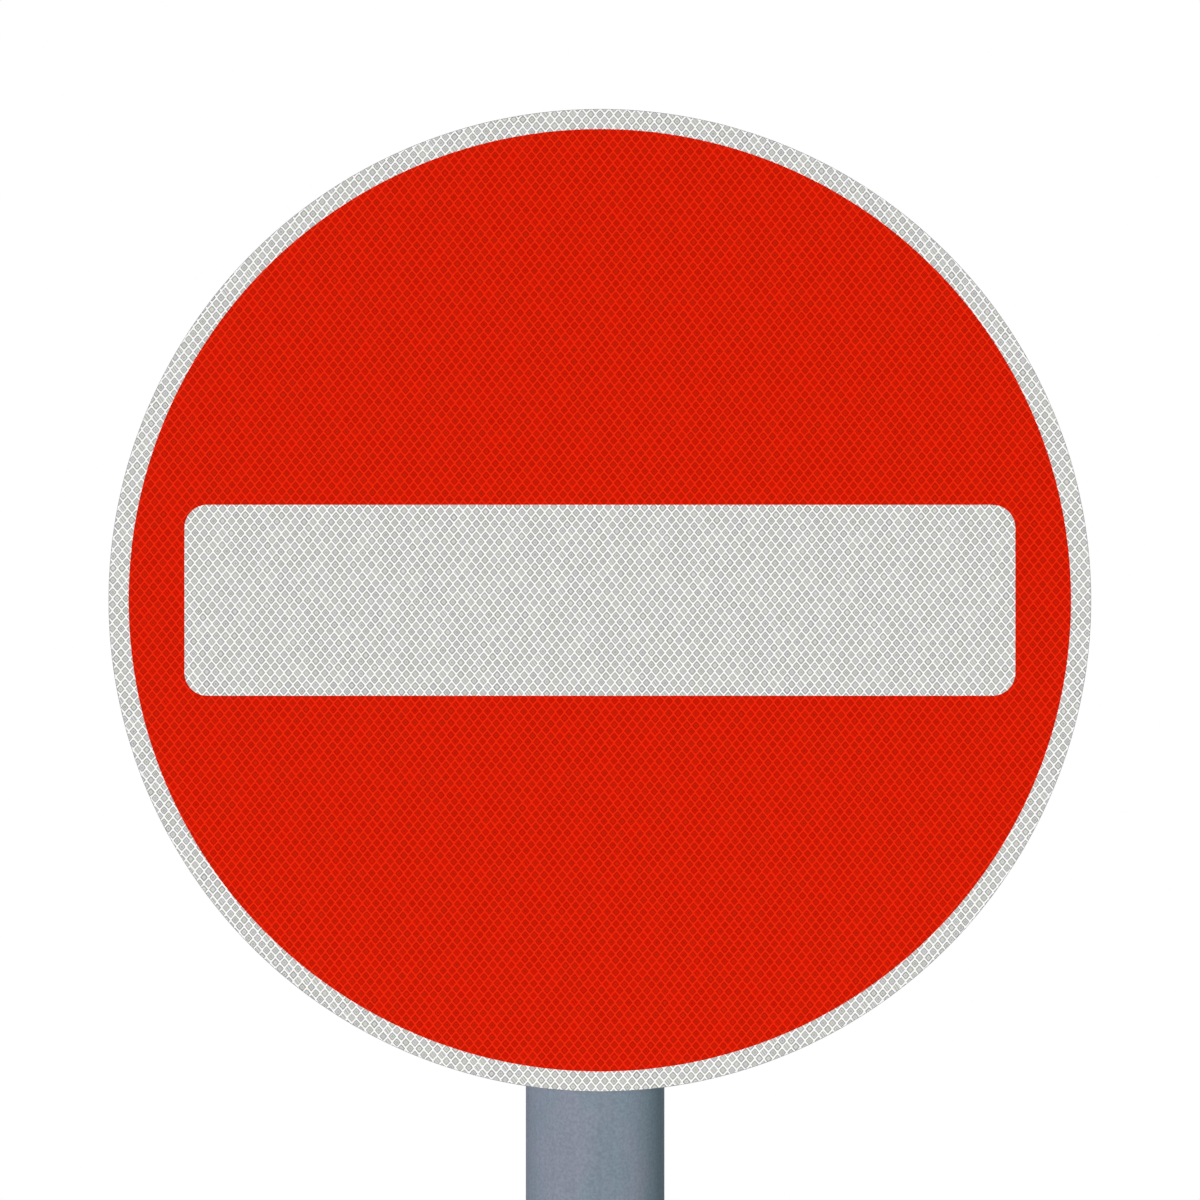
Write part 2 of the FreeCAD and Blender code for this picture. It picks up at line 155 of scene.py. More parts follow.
def cell_template():
    """One cell's points in lattice units with their heights, and its triangles.

    Points 0 to 3 are the lattice's crossings, 4 to 7 the cell's foot and 8 to 11 its crown. Each
    ring goes round from the left corner by way of the top one.
    """
    crown = (CELL_ACROSS * CROWN_SHARE, CELL_UP * CROWN_SHARE, 1)
    points = []
    for across, up, height in ((1, 1, 0), (CELL_ACROSS, CELL_UP, 0), crown):
        for a, b in ((-across, -across), (up, -up), (across, across), (-up, up)):
            points.append(((1 + a) / 2, (1 + b) / 2, height))
    triangles = []
    for ring in (0, 4):
        for corner in range(4):
            after = (corner + 1) % 4
            a, b = ring + corner, ring + after
            c, d = b + 4, a + 4
            triangles += [(a, b, c), (a, c, d)]
    triangles += [(8, 9, 10), (8, 10, 11)]
    return np.array(points), np.array(triangles)


def lattice_mesh(past, reach):
    """Every cell's points as (across, up, height) and its triangles, for cells near a region."""
    count = int(reach / min(CELL_PITCHES)) + SPARE_CELLS
    template, triangles = cell_template()
    line = np.arange(-count, count)
    cells = np.stack(np.meshgrid(line, line), -1).reshape(-1, 2)
    centres = to_face(cells + 0.5)
    cells = cells[past(centres[:, 0], centres[:, 1]) < max(CELL_PITCHES)]
    places = cells[:, None, :] + template[None, :, :2]
    heights = np.broadcast_to(template[:, 2] * CELL_RELIEF, places.shape[:2])
    faces = triangles[None] + (np.arange(len(cells)) * len(template))[:, None, None]
    # Neighbours share the points at the lattice's crossings.
    keys = np.round(places.reshape(-1, 2) * STEPS_IN_CELL).astype(int)
    _, first, shared = np.unique(keys, axis=0, return_index=True, return_inverse=True)
    shared = shared.ravel()
    points = np.column_stack([to_face(places.reshape(-1, 2)[first]), heights.ravel()[first]])
    return points, shared[faces.reshape(-1, 3)]


def crossings(points, values, edges, past):
    """The point on each edge where the region's outline cuts it, found by halving."""
    starts, ends = points[edges[:, 0]], points[edges[:, 1]]
    starts_inside = (values[edges[:, 0]] < 0)[:, None]
    inner = np.where(starts_inside, starts, ends)
    outer = np.where(starts_inside, ends, starts)
    for _ in range(HALVINGS):
        middle = (inner + outer) / 2
        is_in = (past(middle[:, 0], middle[:, 1]) < 0)[:, None]
        inner = np.where(is_in, middle, inner)
        outer = np.where(is_in, outer, middle)
    return (inner + outer) / 2


def clip(points, triangles, past):
    """The part of a mesh that lies inside the region's outline."""
    values = past(points[:, 0], points[:, 1])
    inside = values < 0
    kept = inside[triangles].sum(1)
    whole = triangles[kept == 3]
    cut = triangles[(kept == 1) | (kept == 2)]
    edges = np.sort(np.concatenate([cut[:, [0, 1]], cut[:, [1, 2]], cut[:, [2, 0]]]), 1)
    edges = np.unique(edges, axis=0)
    edges = edges[inside[edges[:, 0]] != inside[edges[:, 1]]]
    new = {(a, b): len(points) + n for n, (a, b) in enumerate(edges.tolist())}
    points = np.concatenate([points, crossings(points, values, edges, past)])
    pieces = []
    for corners in cut.tolist():
        polygon = []
        for n, a in enumerate(corners):
            b = corners[(n + 1) % 3]
            if inside[a]:
                polygon.append(a)
            if inside[a] != inside[b]:
                polygon.append(new[min(a, b), max(a, b)])
        pieces += [(polygon[0], polygon[n], polygon[n + 1]) for n in range(1, len(polygon) - 1)]
    triangles = np.concatenate([whole, np.array(pieces)])
    used, triangles = np.unique(triangles, return_inverse=True)
    return points[used], triangles.reshape(-1, 3)


def outline_loops(triangles):
    """The closed loops of edges that only one triangle has, longest first."""
    after = {}
    pairs = {(a, b) for t in triangles.tolist() for a, b in zip(t, t[1:] + t[:1])}
    for a, b in pairs:
        if (b, a) not in pairs:
            after[a] = b
    loops = []
    while after:
        start, here = next(iter(after.items()))
        del after[start]
        loop = [start]
        while here != start:
            loop.append(here)
            here = after.pop(here)
        loops.append(loop)
    return sorted(loops, key=len, reverse=True)


class Face:
    """Points and faces of one skin of the sign, gathered before they become a mesh."""

    def __init__(self, front, back):
        self.front = front
        self.back = back
        self.points = []
        self.faces = []

    def add_lattice(self, past, reach):
        """Add the cells of one region, and give the loops of points round it."""
        points, triangles = clip(*lattice_mesh(past, reach), past)
        base = len(self.points)
        # The crowns of the cells stand furthest forward, which is towards -Y.
        depth = self.front + CELL_RELIEF - points[:, 2]
        places = np.column_stack([points[:, 0] + SIGN_X, depth, points[:, 1] + SIGN_Z])
        self.points += [tuple(place) for place in places.tolist()]
        self.faces += (triangles + base).tolist()
        return [[base + n for n in loop] for loop in outline_loops(triangles)]

    def fill(self, loops):
        """Flat faces between loops of points that are there already."""
        flat = [n for loop in loops for n in loop]
        outlines = []
        for loop in loops:
            outlines.append([Vector((self.points[n][0], self.points[n][2], 0)) for n in loop])
        self.faces += [[flat[n] for n in face] for face in tessellate_polygon(outlines)]

    def add_wall(self, loop):
        """A wall from the loop to the skin's back, where a few of its points are enough."""
        base = len(self.points)
        self.points += [(self.points[n][0], self.back, self.points[n][2]) for n in loop[::WALL_STEP]]
        far = list(range(base, len(self.points)))
        for n, here in enumerate(loop):
            after = loop[(n + 1) % len(loop)]
            below = far[n // WALL_STEP]
            self.faces.append([here, after, below])
            if (n + 1) % WALL_STEP == 0 or n + 1 == len(loop):
                self.faces.append([after, far[(n // WALL_STEP + 1) % len(far)], below])
        return far


def add_object(name, data):
    """An object that shows the data, added to the scene."""
    added = bpy.data.objects.new(name, data)
    bpy.context.scene.collection.objects.link(added)
    return added


def make_object(name, points, faces, material, node, sharp=40):
    """A closed, smooth-shaded mesh that rides on the sign and stands for a CAD node.

    Edges at which its faces turn by more than sharp degrees stay crisp.
    """
    mesh = bpy.data.meshes.new(name)
    mesh.from_pydata(points, [], faces)
    work = bmesh.new()
    work.from_mesh(mesh)
    # A cell's corner that falls on an outline leaves a needle of a face there, which goes.
    bmesh.ops.remove_doubles(work, verts=work.verts, dist=NEEDLE_WIDTH)
    bmesh.ops.recalc_face_normals(work, faces=work.faces)
    work.to_mesh(mesh)
    work.free()
    mesh.polygons.foreach_set("use_smooth", [True] * len(mesh.polygons))
    mesh.set_sharp_from_angle(angle=math.radians(sharp))
    mesh.materials.append(material)
    piece = add_object(name, mesh)
    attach(piece, BODY)
    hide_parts(node)
    return piece


def map_lattice(piece):
    """A skin's UV map, on which each tile of the lattice is a square of size 1."""
    mesh = piece.data
    places = np.zeros(len(mesh.vertices) * 3)
    mesh.vertices.foreach_get("co", places)
    corners = np.zeros(len(mesh.loops), int)
    mesh.loops.foreach_get("vertex_index", corners)
    across, _, up = (places.reshape(-1, 3)[corners] - (SIGN_X, 0, SIGN_Z)).T
    tiles = to_cells(across, up) / TILE_CELLS
    mesh.uv_layers.new(name=PATTERN_MAP).data.foreach_set("uv", tiles.ravel())


def make_sheeting(material):
    """White sheeting over the whole plate, with its cells wherever the film leaves it open."""
    face = Face(sheet_low.y, sheet_high.y)
    outer, inner = face.add_lattice(past_border, SHEET_RADIUS)
    (bar,) = face.add_lattice(past_white_bar, BAR_HALF_LENGTH + HIDDEN_LAP)
    face.fill([inner, bar])
    face.fill([face.add_wall(outer)])
    piece = make_object("white_lattice_sheeting", face.points, face.faces, material,
                        "reflective_sheeting")
    map_lattice(piece)


def make_film(material):
    """Red overlay film, pressed over the sheeting's cells, with the bar cut out of it."""
    face = Face(film_low.y, film_high.y)
    loops = face.add_lattice(past_film, FILM_RADIUS)
    face.fill([face.add_wall(loop) for loop in loops])
    piece = make_object("red_lattice_film", face.points, face.faces, material,
                        "red_film")
    map_lattice(piece)


# How many points go round a fastener, the post, its cap and the plate
RING_POINTS = 96
POST_POINTS = 192
CAP_POINTS = 160
PLATE_POINTS = 480


def rings_mesh(rings):
    """Quads between rings of points, each joined to the next and the last to the first."""
    count = len(rings[0])
    points = [point for ring in rings for point in ring]
    faces = []
    for r in range(len(rings)):
        here, there = r * count, (r + 1) % len(rings) * count
        for n in range(count):
            after = (n + 1) % count
            faces.append((here + n, here + after, there + after, there + n))
    return points, faces


def capped_mesh(rings):
    """Quads between rings of points, with a flat face over the first ring and over the last."""
    count = len(rings[0])
    points, faces = rings_mesh(rings)
    faces = faces[:-count]
    last = (len(rings) - 1) * count
    return points, faces + [tuple(range(count)), tuple(range(last, last + count))]


def circle(radius, height, count=RING_POINTS):
    """A ring of points about Z."""
    angles = [FULL_TURN * n / count for n in range(count)]
    return [(radius * math.cos(a), radius * math.sin(a), height) for a in angles]


def spun(profile, count=RING_POINTS):
    """Rings of points about Z, one for each (radius, height) of an outline."""
    return [circle(radius, height, count) for radius, height in profile]


def moved(points, place, turn=None):
    """Points turned and then moved to their place."""
    matrix = Matrix.Translation(place) @ (turn or Matrix.Identity(4))
    return [tuple(matrix @ Vector(point)) for point in points]


def rounded(corners, radii, steps=4):
    """A closed outline with its corners rounded in a few steps, each by its own radius."""
    outline = []
    for n, (corner, radius) in enumerate(zip(corners, radii)):
        here = Vector(corner)
        before = (Vector(corners[n - 1]) - here).normalized()
        after = (Vector(corners[(n + 1) % len(corners)]) - here).normalized()
        if not radius:
            outline.append(tuple(here))
            continue
        half = before.angle(after) / 2
        reach = radius / math.tan(half)
        centre = here + (before + after).normalized() * (radius / math.sin(half))
        start, end = here + before * reach - centre, here + after * reach - centre
        for step in range(steps + 1):
            share = step / steps
            outline.append(tuple(centre + start.lerp(end, share).normalized() * radius))
    return outline


# The hexagon of bolts and nuts: its width over the flats, the radius of the round face inside its
# chamfer, and the chamfer's slope
BOLT_FLATS = 13 * MM
HEAD_CIRCLE = 6.2 * MM
CHAMFER_SLOPE = math.tan(math.radians(30))
# The bolt: its shank's radius, its head's height, and the shallow dish in the head's face
BOLT_RADIUS = 4 * MM
BOLT_HEAD = 5.3 * MM
DISH_RADIUS = 3 * MM
DISH_DEPTH = 0.2 * MM
DISH_INSET = 0.5 * MM
# The fillet under the head, and how much slimmer the bare shank is than the thread
NECK_FILLET = 0.3 * MM
SHANK_PLAY = 0.05 * MM
# The thread, which starts so far above the head, and how many rings draw one turn of it
THREAD_START = 2 * MM
THREAD_PITCH = 1.25 * MM
THREAD_DEPTH = 0.62 * MM
STEPS_IN_TURN = 10
# How fast its flanks fall from the crest, and how much is taken off that to keep the crest flat
FLANK_FALL = 1.25
CREST_FLAT = 0.1
# The bolt's end tapers over this length, at this slope.
TIP_LENGTH = 0.9 * MM
TIP_SLOPE = 0.9


def axis_point(low, high, depth=0):
    """The point on a fastener's axis that lies so far behind the front of its box."""
    return Vector(((low.x + high.x) / 2, low.y + depth, (low.z + high.z) / 2))


def hexagon_radius(angle):
    """How far the hexagon reaches in a direction, with two of its flats facing up and down."""
    sector = math.pi / 3
    return BOLT_FLATS / 2 / math.cos((angle - math.pi / 2 + sector / 2) % sector - sector / 2)


def hexagon_ring(height, facing):
    """A ring round the hexagon's face, whose corners are chamfered off outside a circle.

    Facing is 1 where the face looks up, and -1 where it looks down.
    """
    ring = []
    for n in range(RING_POINTS):
        angle = FULL_TURN * n / RING_POINTS
        radius = hexagon_radius(angle)
        drop = max(0, radius - HEAD_CIRCLE) * CHAMFER_SLOPE
        ring.append((radius * math.cos(angle), radius * math.sin(angle), height - facing * drop))
    return ring


def thread_rings(start, end):
    """Rings up a right-hand thread, with its crest cut down by a chamfer at the far end."""
    count = int((end - start) / (THREAD_PITCH / STEPS_IN_TURN))
    rings = []
    for level in range(count + 1):
        height = start + (end - start) * level / count
        tip = BOLT_RADIUS - max(0, height - (end - TIP_LENGTH)) * TIP_SLOPE
        ring = []
        for n in range(RING_POINTS):
            angle = FULL_TURN * n / RING_POINTS
            turn = (height / THREAD_PITCH - n / RING_POINTS) % 1
            slope = min(1, max(0, FLANK_FALL * abs(2 * turn - 1) - CREST_FLAT))
            radius = min(BOLT_RADIUS - THREAD_DEPTH * slope, tip)
            ring.append((radius * math.cos(angle), radius * math.sin(angle), height))
        rings.append(ring)
    return rings


def make_bolt(name, material):
    """Hex bolt: head in the rail's slot, threaded shank out through ear, washer and nut."""
    low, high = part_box(name)
    place = axis_point(low, high, BOLT_HEAD)
    rings = [
        circle(DISH_RADIUS, -BOLT_HEAD + DISH_DEPTH),
        circle(HEAD_CIRCLE - DISH_INSET, -BOLT_HEAD),
        circle(HEAD_CIRCLE, -BOLT_HEAD),
        hexagon_ring(-BOLT_HEAD, -1),
        hexagon_ring(0, 1),
        circle(HEAD_CIRCLE, 0),
        circle(BOLT_RADIUS + NECK_FILLET, 0),
        circle(BOLT_RADIUS - SHANK_PLAY, NECK_FILLET),
    ]
    rings += thread_rings(THREAD_START, high.y - place.y)
    points, faces = capped_mesh(rings)
    make_object(f"{name}_threaded", moved(points, place, FACING_BACK), faces, material,
                name, sharp=25)


# The lock nut: its hexagon's height, the collar's foot on that, the nylon ring's seat in the
# collar and how far below the nut's top it ends, and the chamfer at the bore
NUT_SHOULDER = 5.9 * MM
COLLAR_RADIUS = 5.95 * MM
COLLAR_FOOT = 0.1 * MM
SEAT_RADIUS = 5.3 * MM
SEAT_TOP = 0.39 * MM
NUT_LEAD_IN = 0.4 * MM
# The collar's outline, up its outside and in over its curled rim: how far each point lies inside
# the collar's foot and below the nut's top, in mm
COLLAR_RIM = ((0.05, 0.75), (0.2, 0.3), (0.55, 0.04), (0.95, 0), (1.15, 0.1), (1.1, 0.3))


def make_nut(name, material):
    """Lock nut: chamfered hexagon, and a collar whose rim is curled in over the nylon ring."""
    low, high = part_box(name)
    ring_low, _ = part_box(f"{name}_ring")
    height, ring_height = high.y - low.y, ring_low.y - low.y
    rings = [
        circle(BOLT_RADIUS + NUT_LEAD_IN, 0),
        circle(HEAD_CIRCLE, 0),
        hexagon_ring(0, -1),
        hexagon_ring(NUT_SHOULDER, 1),
        circle(HEAD_CIRCLE, NUT_SHOULDER),
        circle(COLLAR_RADIUS, NUT_SHOULDER + COLLAR_FOOT),
    ]
    rings += [circle(COLLAR_RADIUS - inset * MM, height - drop * MM) for inset, drop in COLLAR_RIM]
    rings += [
        circle(SEAT_RADIUS, height - SEAT_TOP),
        circle(SEAT_RADIUS, ring_height),
        circle(BOLT_RADIUS, ring_height),
        circle(BOLT_RADIUS, NUT_LEAD_IN),
    ]
    points, faces = rings_mesh(rings)
    points = moved(points, axis_point(low, high), FACING_BACK)
    make_object(f"{name}_chamfered", points, faces, material, name, sharp=30)


# The washer's play round the bolt, and the rounding of its rims: in and out in front, out and in
# behind
WASHER_PLAY = 0.2 * MM
WASHER_RIMS = (0.1 * MM, 0.1 * MM, 0.35 * MM, 0.25 * MM)
# The nylon ring: how far it bites into the thread, and the slope and rounding of its inner edge
RING_BITE = 0.3 * MM
RING_SLOPE_WIDTH = 0.5 * MM
RING_SLOPE_DEPTH = 0.3 * MM
RING_ROUNDING = 0.15 * MM


def make_washer(name, material):
    """Stamped washer, with one face's rims rounded over by the punch."""
    low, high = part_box(name)
    outer, bore, thickness = (high.x - low.x) / 2, BOLT_RADIUS + WASHER_PLAY, high.y - low.y
    corners = [(bore, 0), (outer, 0), (outer, thickness), (bore, thickness)]
    points, faces = rings_mesh(spun(rounded(corners, WASHER_RIMS)))
    points = moved(points, axis_point(low, high), FACING_BACK)
    make_object(f"{name}_stamped", points, faces, material, name)


def make_nut_ring(name, material):
    """Nylon ring that grips the bolt's thread, with its inner edge sloped down to the bolt."""
    low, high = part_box(name)
    outer, bore, height = (high.x - low.x) / 2, BOLT_RADIUS - RING_BITE, high.y - low.y
    corners = [
        (bore, 0), (outer, 0), (outer, height),
        (bore + RING_SLOPE_WIDTH, height), (bore, height - RING_SLOPE_DEPTH),
    ]
    profile = rounded(corners, [0, 0, RING_ROUNDING, RING_ROUNDING, RING_ROUNDING])
    points, faces = rings_mesh(spun(profile))
    points = moved(points, axis_point(low, high), FACING_BACK)
    make_object(f"{name}_nylon", points, faces, material, name)


# The rounding of the plate's edge, and of the post's rims inside and outside
PLATE_BREAK = 0.4 * MM
RIM_INSIDE = 0.3 * MM
RIM_OUTSIDE = 0.5 * MM
# The post's wall, and the weld bead in its bore: half its width, as an angle, and its height
POST_WALL = 3.2 * MM
BEAD_REACH = math.radians(4)
BEAD_HEIGHT = 0.5 * MM


def make_plate(material):
    """Round aluminium blank with its sheared edge broken on both sides."""
    thickness = plate_high.y - plate_low.y
    # Each flat side is one polygon out to here, and quads from here to the edge.
    half = PLATE_RADIUS / 2
    corners = [(half, 0), (PLATE_RADIUS, 0), (PLATE_RADIUS, thickness), (half, thickness)]
    profile = rounded(corners, [0, PLATE_BREAK, PLATE_BREAK, 0], steps=3)
    points, faces = capped_mesh(spun(profile, PLATE_POINTS))
    points = moved(points, (SIGN_X, plate_low.y, SIGN_Z), FACING_BACK)
    make_object("aluminium_blank", points, faces, material, "sign_plate", sharp=60)


def make_post(material):
    """Round tube with its sawn rims broken, and the weld bead down the inside."""
    low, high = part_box("post")
    outer, height = (high.x - low.x) / 2, high.z - low.z
    inner = outer - POST_WALL
    corners = [(inner, 0), (outer, 0), (outer, height), (inner, height)]
    profile = rounded(corners, [RIM_INSIDE, RIM_OUTSIDE, RIM_OUTSIDE, RIM_INSIDE], steps=3)
    points, faces = rings_mesh(spun(profile, POST_POINTS))
    raised = []
    for x, y, z in points:
        radius, angle = math.hypot(x, y), math.atan2(y, x) - math.pi / 2
        in_bore = radius < (inner + outer) / 2
        near = max(0, 1 - abs(angle) / BEAD_REACH) if in_bore else 0
        shrink = 1 - near * BEAD_HEIGHT / radius
        raised.append((x * shrink, y * shrink, z))
    make_object("coated_post_tube", raised, faces, material, "post")


# The cap: its play round the post, the recess under its top, the slope round the top's edge, and
# the gate mark, which is wider at its top by a factor
CAP_PLAY = 0.15 * MM
CAP_RECESS = 1 * MM
CAP_EDGE = 2 * MM
GATE_RADIUS = 3 * MM
GATE_DEPTH = 0.4 * MM
GATE_FLARE = 1.3


def make_cap(material):
    """Push-on cap: moulded with rounded edges, and a small gate mark in the middle of its top."""
    low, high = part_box("post_cap")
    post_low, post_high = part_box("post")
    rim = post_high.z
    outer, tube = (high.x - low.x) / 2, (post_high.x - post_low.x) / 2
    inner, bore = tube + CAP_PLAY, tube - POST_WALL
    top, foot, gate_floor = high.z - rim, low.z - rim, high.z - rim - GATE_DEPTH
    # Each corner's radius, its height over the post's rim, and its rounding in mm
    steps = [
        (bore / 2, CAP_RECESS, 0), (bore, CAP_RECESS, 0), (bore, 0, 0), (inner, 0, 0.4),
        (inner, foot, 0.3), (outer, foot, 0.6),
        (outer, top - CAP_EDGE, 0.8), (outer - CAP_EDGE, top, 0.8),
        (GATE_RADIUS * GATE_FLARE, top, 0.3), (GATE_RADIUS, gate_floor, 0.2),
        (GATE_RADIUS / 2, gate_floor, 0),
    ]
    corners = [(radius, height) for radius, height, _ in steps]
    profile = rounded(corners, [rounding * MM for _, _, rounding in steps])
    points, faces = capped_mesh(spun(profile, CAP_POINTS))
    make_object("moulded_post_cap", moved(points, (0, 0, rim)), faces, material,
                "post_cap")


# The tape: the rings that draw it, and how far its flat faces stay inside its box
TAPE_RINGS = 120
TAPE_INSET = 0.3 * MM
# The bulge of its edges and how much that wanders, in mm, as a mean over a few random numbers
TAPE_BULGE = 0.3
TAPE_WANDER = 0.5
TAPE_MEAN = 10


def make_tape(name, material, seed):
    """Foam strip whose long edges bulge a little where the rail squeezes it."""
    low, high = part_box(name)
    noise = np.random.default_rng(seed)
    draws = noise.uniform(-0.5, 0.5, TAPE_RINGS + TAPE_MEAN - 1)
    wander = np.convolve(draws, np.ones(TAPE_MEAN) / TAPE_MEAN, "valid")
    middle, bottom, top = (low.y + high.y) / 2, low.z + TAPE_INSET, high.z - TAPE_INSET
    rings = []
    for n in range(TAPE_RINGS):
        x = low.x + (high.x - low.x) * n / (TAPE_RINGS - 1)
        bulge = (TAPE_BULGE + TAPE_WANDER * wander[n]) * MM
        rings.append([
            (x, low.y, bottom), (x, low.y, top), (x, middle, top + bulge),
            (x, high.y, top), (x, high.y, bottom), (x, middle, bottom - bulge),
        ])
    points, faces = capped_mesh(rings)
    make_object(f"{name}_foam", points, faces, material, name, sharp=60)


# How far the edges of the rails and of the clips are broken
RAIL_BREAK = 0.15 * MM
CLIP_BREAK = 0.3 * MM


def soften(node, material, width):
    """Give a CAD piece its finish, and break its sharp edges."""
    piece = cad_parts[node]
    piece.data.materials.clear()
    piece.data.materials.append(material)
    piece.modifiers.new("join", "WELD").merge_threshold = 0.001 * MM
    bevel = piece.modifiers.new("edges", "BEVEL")
    bevel.width = width
    bevel.segments = 2
    bevel.limit_method = "ANGLE"
    bevel.angle_limit = math.radians(35)
    bevel.harden_normals = True


def srgb(red, green, blue):
    """A colour given as it shows on screen, from 0 to 255, as the linear one that shaders take."""
    def linear(level):
        share = level / 255
        return share / 12.92 if share <= 0.04045 else ((share + 0.055) / 1.055) ** 2.4
    return (linear(red), linear(green), linear(blue), 1)


# Between these two lie nearly all the values of a noise.
NOISE_RANGE = (0.3, 0.7)


class Nodes:
    """A tree of shader nodes, added and linked by short calls that give their output sockets."""

    def __init__(self, tree):
        self.tree = tree

    def node(self, kind, inputs=None, **settings):
        """A new node with its settings, and with plain values or links in its inputs."""
        made = self.tree.nodes.new(kind)
        for key, setting in settings.items():
            setattr(made, key, setting)
        for key, source in (inputs or {}).items():
            self.feed(made.inputs[key], source)
        return made

    def feed(self, socket, source):
        """Link another node's socket to this one, or set this one to a plain value."""
        if isinstance(source, bpy.types.NodeSocket):
            self.tree.links.new(source, socket)
        else:
            socket.default_value = source

    def math(self, operation, *values):
        """One step of arithmetic with numbers."""
        inputs = dict(enumerate(values))
        return self.node("ShaderNodeMath", inputs, operation=operation).outputs[0]

    def vector(self, operation, *values):
        """One step of arithmetic with vectors."""
        inputs = dict(enumerate(values))
        return self.node("ShaderNodeVectorMath", inputs, operation=operation).outputs[0]

    def coordinates(self, vector):
        """A vector's sockets X, Y and Z."""
        return self.node("ShaderNodeSeparateXYZ", {0: vector}).outputs

    def channels(self, colour):
        """A colour's sockets Red, Green and Blue."""
        return self.node("ShaderNodeSeparateColor", {0: colour}).outputs

    def ramp(self, value, low, high, start=0, end=1):
        """A soft step from start to end as the value goes from low to high."""
        inputs = {0: value, 1: low, 2: high, 3: start, 4: end}
        return self.node("ShaderNodeMapRange", inputs, interpolation_type="SMOOTHSTEP").outputs[0]

    def swing(self, noise, start=0, end=1):
        """A soft step from start to end as a noise goes through its usual values."""
        return self.ramp(noise, *NOISE_RANGE, start, end)

    def blend(self, factor, first, second):
        """A number that goes from the first to the second with the factor."""
        inputs = {0: factor, 2: first, 3: second}
        return self.node("ShaderNodeMix", inputs, data_type="FLOAT").outputs[0]

    def mix(self, factor, first, second, blend="MIX"):
        """A colour that goes from the first to what the second makes of it, with the factor."""
        inputs = {0: factor, 6: first, 7: second}
        made = self.node("ShaderNodeMix", inputs, data_type="RGBA", blend_type=blend)
        return made.outputs[2]

    def scaled(self, colour, level):
        """A colour multiplied by a number."""
        grey = self.node("ShaderNodeCombineColor", {0: level, 1: level, 2: level}).outputs[0]
        return self.mix(1, colour, grey, "MULTIPLY")

    def place(self, stretch=(1, 1, 1)):
        """Places in metres, shrunk along the way in which a pattern is drawn out."""
        place = self.node("ShaderNodeTexCoord").outputs["Object"]
        return self.vector("MULTIPLY", place, stretch)

    def noise(self, scale, detail=3, roughness=0.6, stretch=(1, 1, 1)):
        """Cloudy values, with as many waves a metre as the scale says, and drawn out one way."""
        inputs = {"Vector": self.place(stretch), "Scale": scale, "Detail": detail}
        inputs["Roughness"] = roughness
        return self.node("ShaderNodeTexNoise", inputs).outputs["Fac"]

    def spots(self, scale):
        """Scattered spots: sockets of the distance from the nearest, and of a colour for each."""
        inputs = {"Vector": self.place(), "Scale": scale}
        return self.node("ShaderNodeTexVoronoi", inputs).outputs

    def rays(self):
        """Sockets that are 1 for rays from the camera, and for those reflected or let through."""
        path = self.node("ShaderNodeLightPath").outputs
        reflected = self.math("MAXIMUM", path["Is Glossy Ray"], path["Is Transmission Ray"])
        return path["Is Camera Ray"], reflected


class Shading(Nodes):
    """One material, whose Principled shader takes plain numbers or the sockets of other nodes."""

    def __init__(self, name, **sockets):
        self.material = bpy.data.materials.new(name)
        self.material.use_nodes = True
        super().__init__(self.material.node_tree)
        self.shader = self.tree.nodes["Principled BSDF"]
        for socket, number in sockets.items():
            self.shader.inputs[socket.replace("_", " ")].default_value = number

    def shade(self, socket, source):
        """Link a source to one of the shader's own sockets."""
        self.feed(self.shader.inputs[socket], source)

    def bump(self, height, distance, strength):
        """Fine relief, as deep as the distance where the height goes from 0 to 1."""
        inputs = {"Height": height, "Distance": distance, "Strength": strength}
        self.shade("Normal", self.node("ShaderNodeBump", inputs).outputs["Normal"])


# How the pattern in the cells is drawn. Depth is 0 at a cell's edge and 1 in its middle, and each
# cell has random numbers from 0 to 1 of its own.
CELL_ROUNDING = 1.12
# The depth of the darkest ring, and the fewest and most rings in a cell
DARK_RING = 0.2
FEWEST_RINGS = 1
MOST_RINGS = 1.9
# The stripes in a cell, and the random numbers between which they take the place of rings
STRIPES_IN_CELL = 3
STRIPED_RANGE = (0.75, 0.85)
# What a random number is multiplied by to find another in its fraction
REDRAW = 7
# The random numbers between which the pattern grows to its whole strength, and the least share
WAVE_RANGE = (0.1, 0.9)
LEAST_WAVE = 0.4
# The depths between which the colour at a cell's edge turns into the one in its middle
MIDDLE_RANGE = (0.1, 0.6)
# How much rougher the seal lines are than the cells
LINE_ROUGHER = 0.12

# What sets white cells and red ones apart: their colours, the two tints that each cell lies
# between, how far the seal lines lap over the cells' edges and blur there, and how much pattern
# and tone vary
WHITE_LOOKS = {
    "line": srgb(253, 253, 251), "cell_edge": srgb(184, 184, 182), "cell_middle": srgb(196, 196, 193),
    "tint_low": (1.007, 1.014, 0.97, 1), "tint_high": (0.997, 0.986, 1.02, 1),
    "lap": 0, "blur": 0.03, "wave": 0.29, "spread": 0.06, "roughness": 0.3,
}
RED_LOOKS = {
    "line": srgb(231, 42, 12), "cell_edge": srgb(212, 13, 0), "cell_middle": srgb(193, 28, 4),
    "tint_low": (1.02, 0.85, 0.6, 1), "tint_high": (0.98, 1.15, 1.4, 1),
    "lap": 0.02, "blur": 0.13, "wave": 0.2, "spread": 0.05, "roughness": 0.3,
}


